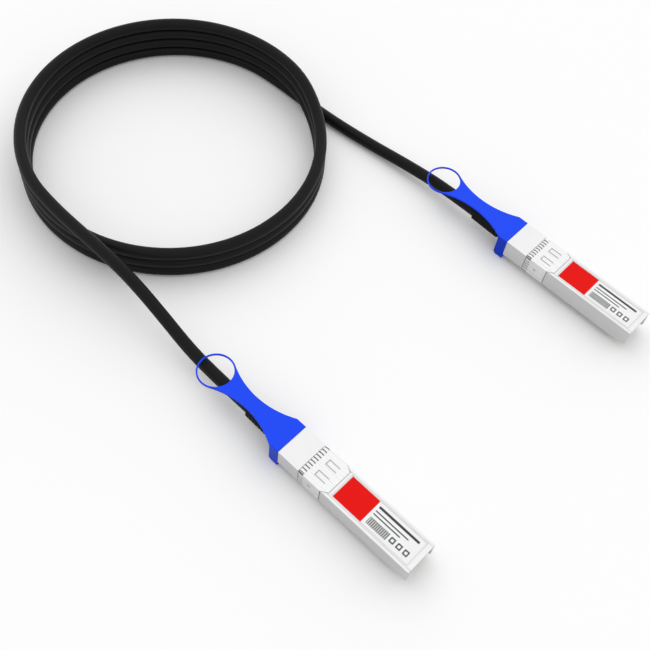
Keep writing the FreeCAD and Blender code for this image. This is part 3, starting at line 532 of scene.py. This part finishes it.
@dataclass(frozen=True)
class SolderMask(Finish):
    """Circuit board: solder mask over parallel traces, with a faint glass weave at its edges."""

    centre: float = 0.0
    traces_from: float = 0.0
    traces_to: float = 0.0
    pitch: float = 0.8 * MM
    trace: float = 0.28 * MM
    copper: Colour = (0.10, 0.42, 0.20)
    weave: Point = (2500.0, 2500.0, 600.0)
    weave_detail: float = 1.0
    trace_share: float = 0.7
    strength: float = 0.5
    depth: float = 0.03 * MM

    def varied(self, graph: Graph) -> dict[str, Wire]:
        """Traces in colour and height, and the weave in the normal.

        Args:
            graph: The material's graph.

        Returns:
            The wire of each socket that varies.
        """
        place = graph.place()
        along, across, _ = graph.axes(place)
        lane = abs(((across - self.centre) % self.pitch) - self.pitch / 2)
        traces = lane.below(self.trace / 2) * along.between(self.traces_from, self.traces_to)
        weave = graph.noise(graph.stretched(place, self.weave), detail=self.weave_detail)
        height = self.trace_share * traces + (1 - self.trace_share) * weave
        return {"Base Color": graph.blend(traces, opaque(self.colour), opaque(self.copper)),
                "Normal": graph.bump(height, self.strength, self.depth)}


@dataclass(frozen=True)
class PrintedFilm(Finish):
    """The label: a red field, then a white one that carries plain rules and no lettering.

    Blocks are given as start, end, near side and far side, in shares of the film.
    """

    low: Point = (0.0, 0.0, 0.0)
    high: Point = (0.0, 0.0, 0.0)
    red: Colour = (0.86, 0.008, 0.006)
    red_share: float = 0.381
    ink: Colour = (0.02, 0.02, 0.022)
    cover: float = 0.95
    rules: tuple[Block, ...] = (
        (0.415, 0.95, 0.79, 0.88), (0.415, 0.85, 0.63, 0.675), (0.415, 0.77, 0.50, 0.545))
    bars: Block = (0.42, 0.68, 0.10, 0.39)
    bar_pitch: float = 0.023
    bar_share: float = 0.6
    squares: tuple[Block, ...] = (
        (0.71, 0.77, 0.16, 0.37), (0.80, 0.86, 0.16, 0.37), (0.89, 0.95, 0.16, 0.37))
    square_lines: Span = (0.014, 0.05)
    sheen: float = 700.0
    sheen_detail: float = 2.0
    sheen_gloss: float = 0.1
    strength: float = 0.15
    depth: float = 0.01 * MM

    def varied(self, graph: Graph) -> dict[str, Wire]:
        """Fields, rules, bars and hollow squares by their place on the film.

        Args:
            graph: The material's graph.

        Returns:
            The wire of each socket that varies.
        """
        place = graph.place()
        x, y, _ = graph.axes(place)
        along = (x - self.low[0]) / (self.high[0] - self.low[0])
        side = (y - self.low[1]) / (self.high[1] - self.low[1])

        def block(start: float, end: float, near: float, far: float) -> Wire:
            """1 inside a block."""
            return along.between(start, end) * side.between(near, far)

        bar = (along % self.bar_pitch).below(self.bar_pitch * self.bar_share)
        printed = block(*self.bars) * bar
        for rule in self.rules:
            printed = printed.either(block(*rule))
        line_x, line_y = self.square_lines
        for start, end, near, far in self.squares:
            inside = block(start + line_x, end - line_x, near + line_y, far - line_y)
            printed = printed.either(block(start, end, near, far) * (1 - inside))
        film = graph.noise(place, self.sheen, self.sheen_detail)
        ground = graph.blend(along.below(self.red_share), opaque(self.colour), opaque(self.red))
        return {"Base Color": graph.blend(printed * self.cover, ground, opaque(self.ink)),
                "Roughness": self.swung(film, self.sheen_gloss),
                "Normal": graph.bump(film, self.strength, self.depth)}


class Shared(Enum):
    """The finishes that more than one piece has, each made a material once."""

    CAST = CastMetal("satin_casting", (0.90, 0.90, 0.905), 0.42, 0.32)
    SLEEVE = RolledMetal("tinned_sleeve", (0.93, 0.93, 0.935), 0.30, 0.60)
    LEVER = RolledMetal("plated_lever", (0.58, 0.58, 0.60), 0.34, 1.0)
    STEEL = RolledMetal("spring_strip", (0.66, 0.66, 0.68), 0.28, 1.0)
    SCREW = CastMetal("plated_screw", (0.72, 0.72, 0.73), 0.32, 1.0)
    GOLD = GoldPlate("contact_gold", (0.90, 0.66, 0.27), 0.22, 1.0)
    CHIP = MouldedPlastic("chip_package", (0.020, 0.020, 0.022), 0.55, grain=5200.0)
    FOIL = CrinkledFoil("wrapped_foil", (0.86, 0.86, 0.87), 0.25, 1.0)
    TAB = MouldedPlastic("blue_tab", (0.009, 0.070, 0.98), 0.45, specular=0.2, unevenness=0.03)
    BOOT = MouldedPlastic("soft_boot", (0.0045, 0.0045, 0.0045), 0.55, specular=0.14)
    JACKET = ExtrudedJacket("cable_jacket", (0.005, 0.005, 0.005), 0.46, specular=0.15)

    @cache
    def material(self) -> bpy.types.Material:
        """Its material, built when it is first asked for."""
        return self.value.material()


# ---- meshes -----------------------------------------------------------------------------------

def new_piece(name: str, points: Array, faces: Sequence[Sequence[int]]) -> bpy.types.Object:
    """Makes a mesh object at the origin, with its place in its mesh.

    Args:
        name: The piece's name.
        points: An n by 3 array, in metres.
        faces: The corners of each face.

    Returns:
        The object.
    """
    mesh = bpy.data.meshes.new(name)
    mesh.from_pydata(points.tolist(), [], faces)
    mesh.update()
    return show(name, mesh)


def show(name: str, data: bpy.types.ID) -> bpy.types.Object:
    """Links data to the scene, and shades a mesh smooth between its sharp edges.

    Args:
        name: The new object's name.
        data: Its mesh, curve, camera or lamp.

    Returns:
        The object.
    """
    if isinstance(data, bpy.types.Mesh):
        data.shade_smooth()
        data.set_sharp_from_angle(angle=SHARP)
    piece = bpy.data.objects.new(name, data)
    bpy.context.scene.collection.objects.link(piece)
    return piece


def tube_faces(rows: int, columns: int) -> list[list[int]]:
    """Faces of a grid whose columns close into a ring, and of the cap at either end.

    The corner of a row and a column has the number row times columns plus column, and the last
    column is followed by the first.

    Args:
        rows: Points along the path.
        columns: Points round the profile.

    Returns:
        Each face's corners.
    """
    row, column = np.meshgrid(np.arange(rows - 1), np.arange(columns), indexing="ij")
    following = (column + 1) % columns
    corners = [row * columns + column, row * columns + following,
               (row + 1) * columns + following, (row + 1) * columns + column]
    walls = np.stack(corners, -1).reshape(-1, 4).tolist()
    ring = np.arange(columns)
    return walls + [ring[::-1].tolist(), (ring + (rows - 1) * columns).tolist()]


def read(rows: bpy.types.bpy_prop_collection, name: str, width: int = 1,
         kind: type = float) -> Array:
    """Reads one property of all of a mesh's vertices, edges, faces or loops.

    Args:
        rows: Those elements.
        name: The property.
        width: How many numbers it has.
        kind: What they are.

    Returns:
        A row for each element.
    """
    values = np.zeros(len(rows) * width, kind)
    rows.foreach_get(name, values)
    return values.reshape(-1, width)


def edge_facts(mesh: bpy.types.Mesh) -> tuple[Array, Array, Array]:
    """Measures a mesh's edges.

    Two unit normals with an angle t between them add up to a vector 2 cos(t / 2) long, so the sum
    of the normals of an edge's faces gives how much the surface turns there.

    Args:
        mesh: A closed mesh.

    Returns:
        Each edge's turn in radians, its length and its middle.
    """
    places = read(mesh.vertices, "co", 3)
    ends = read(mesh.edges, "vertices", 2, int)
    normals = read(mesh.polygons, "normal", 3)
    sizes = read(mesh.polygons, "loop_total", kind=int).ravel()
    used = read(mesh.loops, "edge_index", kind=int).ravel()
    total = np.zeros((len(mesh.edges), 3))
    np.add.at(total, used, np.repeat(normals, sizes, axis=0))
    turn = 2 * np.arccos(np.clip(np.linalg.norm(total, axis=1) / 2, 0, 1))
    first, second = places[ends].transpose(1, 0, 2)
    return turn, np.linalg.norm(second - first, axis=1), (first + second) / 2


@dataclass(frozen=True)
class Softening:
    """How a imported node's crisp edges are rounded on a merged copy of it.

    An edge is rounded where it is longer than the shortest, or where its middle is over a height.
    """

    width: float
    shortest: float = 0.0
    over: float = math.inf
    steps: int = 3

    def merged(self, node: str, name: str) -> bpy.types.Mesh:
        """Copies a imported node's mesh with its loose triangles made whole faces.

        An edge that is left inside a flat face gets a point in its middle, so that a rounding at
        one of its ends slides along it only that far.

        Args:
            node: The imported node.
            name: The new mesh's name.

        Returns:
            The mesh, without the node's materials and normals.
        """
        work = bmesh.new()
        work.from_mesh(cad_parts[node].data)
        bmesh.ops.remove_doubles(work, verts=work.verts, dist=WELD)
        bmesh.ops.dissolve_limit(work, angle_limit=FLAT, verts=work.verts, edges=work.edges)
        for edge in [edge for edge in work.edges if edge.calc_face_angle(math.pi) < FLAT]:
            bmesh.utils.edge_split(edge, edge.verts[0], 0.5)
        mesh = bpy.data.meshes.new(name)
        work.to_mesh(mesh)
        work.free()
        if "custom_normal" in mesh.attributes:
            mesh.attributes.remove(mesh.attributes["custom_normal"])
        mesh.materials.clear()
        return mesh

    def copy(self, node: str, name: str) -> bpy.types.Object:
        """Makes the rounded copy.

        Args:
            node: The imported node.
            name: The new piece's name.

        Returns:
            The piece, which stands for the node.
        """
        mesh = self.merged(node, name)
        turn, length, middle = edge_facts(mesh)
        chosen = (turn > CRISP) & ((length > self.shortest) | (middle[:, 2] > self.over))
        weights = mesh.attributes.new("bevel_weight_edge", "FLOAT", "EDGE")
        weights.data.foreach_set("value", chosen.astype(np.float32))
        piece = show(name, mesh)
        bevel = piece.modifiers.new("rounding", "BEVEL")
        bevel.width = self.width
        bevel.segments = self.steps
        bevel.limit_method = "WEIGHT"
        bevel.use_clamp_overlap = False
        bevel.harden_normals = True
        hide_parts(node)
        return piece


def finish_piece(piece: bpy.types.Object, material: bpy.types.Material, body: str) -> None:
    """Dresses a new piece and hangs it from its body.

    Args:
        piece: The piece.
        material: Its material.
        body: The body that it rides on.
    """
    piece.data.materials.append(material)
    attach(piece, body)
    log.info("%s rides on %s", piece.name, body)


def dress_node(node: str, material: bpy.types.Material) -> None:
    """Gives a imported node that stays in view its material.

    Args:
        node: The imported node.
        material: The material, for every face.
    """
    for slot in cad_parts[node].material_slots:
        slot.material = material
    log.info("%s keeps its packed shape", node)


# ---- cable ------------------------------------------------------------------------------------

@dataclass
class Cable:
    """The free cord between the plugs: two tails and three and a half turns of a coil.

    The routes are in millimetres. The turns run clockwise from the front.
    """

    finish: Finish = Shared.JACKET.value
    diameter: float = 4.8 * MM
    length: float = 1.53
    coil_centre: tuple[float, float] = (-127.2 * MM, 61.6 * MM)
    coil_radius: float = 60.0 * MM
    half_turns: int = 7
    points_per_turn: int = 24
    top_height: float = 16.8 * MM
    drop_start: float = 12.0
    drop_end: float = 40.0
    near_route: Sequence[Point] = (
        (-17.6, 0.0, 5.6), (-33.0, 0.0, 5.6), (-49.0, 0.35, 6.2), (-65.0, 1.15, 11.2),
        (-81.0, 1.7, 15.6), (-96.0, 1.75, 17.0), (-111.5, 1.6, 16.8), (-127.2, 1.6, 16.8))
    far_route: Sequence[Point] = (
        (-127.2, 121.6, 2.4), (-110.0, 121.6, 2.4), (-92.0, 122.4, 2.4), (-73.0, 124.5, 2.5),
        (-54.0, 126.3, 3.9), (-35.5, 126.8, 5.6), (-18.7, 126.8, 5.6))
    order: int = 3
    steps: int = 5
    round_steps: int = 6

    def coil_points(self) -> Array:
        """Works out the coil's control points.

        A control point stands outside the turn by the share that a quadratic spline cuts off,
        and each turn drops by one diameter just past the back, along a smooth step: three times
        the share squared less twice the share cubed.

        Returns:
            A row for each point.
        """
        step = TURN / self.points_per_turn
        whole = self.half_turns * HALF_TURN
        travel = np.arange(step, whole, step)
        angle = np.radians(FRONT - travel)
        reach = self.coil_radius / math.cos(math.radians(step / 2))
        height = np.full_like(travel, self.top_height)
        fall = self.drop_end - self.drop_start
        for back in np.arange(HALF_TURN, whole, TURN):
            share = np.clip((travel - back - self.drop_start) / fall, 0, 1)
            height -= self.diameter * share ** 2 * (3 - 2 * share)
        return np.stack([self.coil_centre[0] + reach * np.cos(angle),
                         self.coil_centre[1] + reach * np.sin(angle), height], -1)

    def curve(self, points: Array) -> bpy.types.Curve:
        """Makes the cord's curve.

        Args:
            points: Its control points.

        Returns:
            A round tube along a spline that starts and ends on the outer points.
        """
        curve = bpy.data.curves.new("cable", "CURVE")
        curve.dimensions = "3D"
        curve.bevel_depth = self.diameter / 2
        curve.bevel_resolution = self.round_steps
        curve.resolution_u = self.steps
        curve.use_fill_caps = True
        spline = curve.splines.new("NURBS")
        spline.points.add(len(points) - 1)
        spline.points.foreach_set("co", np.append(points, np.ones((len(points), 1)), 1).ravel())
        spline.order_u = self.order
        spline.use_endpoint_u = True
        spline.use_smooth = True
        return curve

    def build(self) -> None:
        points = np.concatenate([np.array(self.near_route) * MM, self.coil_points(),
                                 np.array(self.far_route) * MM])
        cord = show("cable", self.curve(points))
        finish_piece(cord, self.finish.material(), "cable")
        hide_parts("near_tail", "far_tail", "cable_coil")


# ---- springs ----------------------------------------------------------------------------------

@dataclass
class ReturnSpring:
    """One round-wire compression spring with closed ends, lying along X."""

    name: str
    start: float
    end: float
    across: float
    height: float
    radius: float = 0.6 * MM
    wire: float = 0.22 * MM
    turns: float = 6.5
    closed_turns: float = 0.9
    steps: int = 180
    sides: int = 10

    def build(self) -> bpy.types.Object:
        """Makes the spring.

        The wire's middle runs round a circle in Y and Z. Its place along X rises by one wire to
        the turn over the closed ends and evenly between them. A ring of points stands round the
        middle, on the outward direction and on X.

        Returns:
            The bare piece.
        """
        turn = np.linspace(0, self.turns, self.steps)
        knots = [0, self.closed_turns, self.turns - self.closed_turns, self.turns]
        shut = self.closed_turns * self.wire
        low, high = self.start + self.wire / 2, self.end - self.wire / 2
        round_x = 2 * np.pi * turn
        outward = np.stack([np.zeros_like(turn), np.cos(round_x), np.sin(round_x)], -1)
        middle = outward * self.radius + np.array([0, self.across, self.height])
        middle[:, 0] = np.interp(turn, knots, [low, low + shut, high - shut, high])
        ring = np.linspace(0, 2 * np.pi, self.sides, endpoint=False)[None, :, None]
        along_x = np.array([1.0, 0, 0])
        offset = (outward[:, None, :] * np.cos(ring) + along_x * np.sin(ring)) * self.wire / 2
        points = (middle[:, None, :] + offset).reshape(-1, 3)
        return new_piece(self.name, points, tube_faces(self.steps, self.sides))


@dataclass
class LeafSpring:
    """The bent strip between the latch well's roof and the lever."""

    name: str
    low: Point
    high: Point
    thickness: float = 0.12 * MM
    flat: float = 1.6 * MM
    tip_share: float = 0.9
    tip_lift: float = 0.18 * MM
    steps: int = 40

    def build(self) -> bpy.types.Object:
        """Makes the strip.

        Its height is a flat stretch under the roof, then half a cosine down to the lever, then a
        tip that turns up by the square of the way along it. A rectangle is carried along that
        line.

        Returns:
            The bare piece.
        """
        (start, left, bottom), (end, right, roof) = self.low, self.high
        along = np.linspace(start, end, self.steps)
        share = np.clip((along - start - self.flat) / (end - start - self.flat), 0, 1)
        bend = (1 - np.cos(np.pi * np.minimum(share / self.tip_share, 1))) / 2
        tip = np.clip((share - self.tip_share) / (1 - self.tip_share), 0, 1)
        top = roof - (roof - bottom - self.thickness) * bend + self.tip_lift * tip ** 2
        corners = ((left, 0.0), (right, 0.0), (right, -self.thickness), (left, -self.thickness))
        points = np.stack([np.stack([along, np.full_like(along, side), top + down], -1)
                           for side, down in corners], 1).reshape(-1, 3)
        return new_piece(self.name, points, tube_faces(self.steps, len(corners)))


# ---- plug -------------------------------------------------------------------------------------

class End(Enum):
    """The two ends of the cable."""

    NEAR = "near"
    FAR = "far"


@dataclass
class PlugEnd:
    """One plug: its shell, label, board, boot, latch and pull tab."""

    end: End
    film: PrintedFilm = PrintedFilm("print", (0.96, 0.96, 0.96), 0.5, specular=0.1)
    mask: SolderMask = SolderMask("solder_mask", (0.012, 0.16, 0.06), 0.35)
    ceramic: EndCappedCeramic = EndCappedCeramic("capacitor", (0.42, 0.30, 0.20), 0.55)
    shell_edge: Softening = Softening(0.12 * MM)
    cover_edge: Softening = Softening(0.05 * MM)
    boot_edge: Softening = Softening(0.06 * MM)
    lever_edge: Softening = Softening(0.06 * MM)
    slider_edge: Softening = Softening(0.05 * MM)
    tab_edge: Softening = Softening(0.18 * MM, shortest=2.0 * MM, over=8.8 * MM)
    pull_travel: float = 2.5 * MM
    leaf_left: float = 0.22
    traces_setback: float = 8.0 * MM
    traces_start: float = 9.5 * MM

    def name(self, part: str) -> str:
        """The name of a part of this plug, as a node, a body, a joint or a new piece."""
        return f"{self.end.value}_{part}"

    def dress(self, part: str, finish: Shared) -> None:
        """Gives a node of this plug a shared finish."""
        dress_node(self.name(part), finish.material())

    def soften(self, part: str, piece: str, softening: Softening, finish: Shared, body: str) -> None:
        """Stands a rounded copy of a node in its place.

        Args:
            part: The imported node's part of this plug.
            piece: The new piece's part of this plug.
            softening: How its edges are rounded.
            finish: Its finish.
            body: The body that it rides on.
        """
        copy = softening.copy(self.name(part), self.name(piece))
        finish_piece(copy, finish.material(), body)

    def shell(self) -> None:
        """The casting, the lid and the sleeve round them, with the screws."""
        self.soften("housing", "lower_shell", self.shell_edge, Shared.CAST, "cable")
        self.soften("lid", "top_cover", self.cover_edge, Shared.CAST, "cable")
        self.dress("shielding_sleeve", Shared.SLEEVE)
        self.dress("lid_screws", Shared.SCREW)

    def place(self, part: str, finish: Finish, **places: float | Point) -> None:
        """Gives a node of this plug a finish whose pattern has its place on it.

        Args:
            part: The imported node's part of this plug.
            finish: The finish, without the plug's name and the places.
            **places: Its fields that hold the pattern's places.
        """
        placed = replace(finish, name=self.name(finish.name), **places)
        dress_node(self.name(part), placed.material())

    def label(self) -> None:
        """The printed film in the lid's recess."""
        low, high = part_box(self.name("label"))
        self.place("label", self.film, low=tuple(low), high=tuple(high))

    def board(self) -> None:
        """The card with its contacts, memory, capacitors and the cable's inner wires."""
        low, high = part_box(self.name("paddle_board"))
        self.place("paddle_board", self.mask, centre=(low[1] + high[1]) / 2,
                   traces_from=low[0] + self.traces_start,
                   traces_to=high[0] - self.traces_setback)
        low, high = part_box(self.name("coupling_capacitors"))
        self.place("coupling_capacitors", self.ceramic, low=low[0], high=high[0])
        self.dress("board_contacts", Shared.GOLD)
        self.dress("memory_chip", Shared.CHIP)
        self.dress("conductors", Shared.GOLD)
        self.dress("signal_pairs", Shared.FOIL)
        self.dress("crimp_ferrule", Shared.SCREW)
        self.dress("cable_end", Shared.JACKET)

    def boot(self) -> None:
        """The strain relief behind the shell."""
        self.soften("strain_relief", "boot", self.boot_edge, Shared.BOOT, "cable")

    def latch(self) -> None:
        """The lever on its pin, the slider that lifts it, and their springs."""
        self.soften("latch_lever", "lever", self.lever_edge, Shared.LEVER, self.name("latch"))
        self.soften("release_slider", "slider", self.slider_edge, Shared.STEEL,
                    self.name("release"))
        self.dress("latch_pin", Shared.STEEL)
        self.leaf()
        self.springs()

    def leaf(self) -> None:
        """The leaf over the lever: flat under the well's roof, then bent down onto the lever."""
        low, high = (tuple(corner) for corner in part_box(self.name("latch_leaf")))
        leaf = LeafSpring(self.name("leaf"), low, high).build()
        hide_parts(self.name("latch_leaf"))
        finish_piece(leaf, Shared.STEEL.material(), "cable")
        self.name("latch_turn")
        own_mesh(leaf)

    def springs(self) -> None:
        """The two return springs, one at each side."""
        low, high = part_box(self.name("return_springs"))
        height = (low[2] + high[2]) / 2
        reach = ReturnSpring.radius + ReturnSpring.wire / 2
        for side, across in (("left", high[1] - reach), ("right", low[1] + reach)):
            spring = ReturnSpring(self.name(f"spring_{side}"), low[0], high[0], across,
                                  height).build()
            if side == "left":
                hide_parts(self.name("return_springs"))
            finish_piece(spring, Shared.STEEL.material(), "cable")
            self.name("pull")
            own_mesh(spring)

    def tab(self) -> None:
        """The pull tab with its rounded strap and ring."""
        self.soften("pull_tab", "tab", self.tab_edge, Shared.TAB, self.name("release"))

    def build(self) -> None:
        """Builds the whole plug."""
        for part in (self.shell, self.label, self.board, self.boot, self.latch, self.tab):
            part()
        log.info("%s plug dressed", self.end.value)


# ---- studio -----------------------------------------------------------------------------------

@dataclass
class Studio:
    """The camera, the floor and the light."""

    eye: Point = (93.84 * MM, -108.80 * MM, 310.31 * MM)
    forward: Point = (-0.32630, 0.42261, -0.84553)
    roll: float = 7.28
    lens: float = 53.97
    nearest: float = 0.01
    furthest: float = 20.0
    floor_half: float = 4.0
    floor_height: float = -0.02 * MM
    floor_tone: float = 1.0
    floor_bounce: float = 0.20
    floor_glow: float = 0.06
    sky: float = 0.58
    key: float = 1.38
    key_spread: float = 100.0
    key_from: Point = (-0.19, 0.58, 0.79)

    def camera(self) -> None:
        """Sets the camera, rolled about its own line of sight."""
        forward = Vector(self.forward).normalized()
        right = forward.cross(Vector((0, 0, 1))).normalized()
        up = right.cross(forward)
        roll = math.radians(self.roll)
        across = math.cos(roll) * right + math.sin(roll) * up
        above = math.cos(roll) * up - math.sin(roll) * right
        data = bpy.data.cameras.new("camera")
        data.lens = self.lens
        data.clip_start = self.nearest
        data.clip_end = self.furthest
        camera = show("camera", data)
        camera.matrix_world = (Matrix.Translation(self.eye)
                               @ Matrix((across, above, -forward)).transposed().to_4x4())
        bpy.context.scene.camera = camera

    @staticmethod
    def seen(graph: Graph) -> Wire:
        """Tells the rays that show the background from those that light the object.

        Args:
            graph: The floor's or the sky's graph.

        Returns:
            1 for rays from the camera, off gloss and through glass, and 0 for the others.
        """
        light_path = graph.node("ShaderNodeLightPath", output="Is Camera Ray")
        outputs = light_path.socket.node.outputs
        glossy = Wire(graph, outputs["Is Glossy Ray"])
        through = Wire(graph, outputs["Is Transmission Ray"])
        return light_path.either(glossy).either(through)

    def floor(self) -> None:
        """A pale floor that shows white and keeps the object's soft shadow."""
        half, height = self.floor_half, self.floor_height
        points = np.array([(-half, -half, height), (half, -half, height), (half, half, height),
                           (-half, half, height)])
        floor = new_piece("floor", points, [[0, 1, 2, 3]])
        material, graph = Graph.of_material("pale_floor")
        glow = graph.node("ShaderNodeEmission",
                          inputs={"Color": opaque(WHITE), "Strength": self.floor_glow})
        white = graph.node("ShaderNodeAddShader",
                           inputs={0: graph.diffuse(self.floor_tone), 1: glow})
        bounce = graph.diffuse(self.floor_bounce)
        shown = graph.node("ShaderNodeMixShader",
                           inputs={0: self.seen(graph), 1: bounce, 2: white})
        graph.node("ShaderNodeOutputMaterial", inputs={"Surface": shown})
        floor.data.materials.append(material)

    def light(self) -> None:
        """An even sky, white to the camera, and one wide lamp from above and behind.

        The lamp doesn't show in gloss, where its edge would draw a line.
        """
        world = bpy.data.worlds.new("sky")
        world.use_nodes = True
        bpy.context.scene.world = world
        graph = Graph(world.node_tree)
        strength = self.sky + (1.0 - self.sky) * self.seen(graph)
        sky = graph.node("ShaderNodeBackground",
                         inputs={"Color": opaque(WHITE), "Strength": strength})
        graph.node("ShaderNodeOutputWorld", inputs={"Surface": sky})
        lamp = bpy.data.lights.new("key", "SUN")
        lamp.energy = self.key
        lamp.angle = math.radians(self.key_spread)
        sun = show("key", lamp)
        sun.visible_glossy = False
        sun.rotation_euler = Vector(self.key_from).to_track_quat("Z", "Y").to_euler()

    def build(self) -> None:
        """Sets up the view."""
        self.camera()
        self.floor()
        self.light()
        bpy.context.scene.view_settings.view_transform = "Standard"


def main() -> None:
    """Builds the studio, the cable and both plugs."""
    logging.basicConfig(level=logging.INFO, format="%(name)s: %(message)s")
    Studio().build()
    Cable().build()
    for end in End:
        PlugEnd(end).build()


if __name__ == "__main__":
    main()
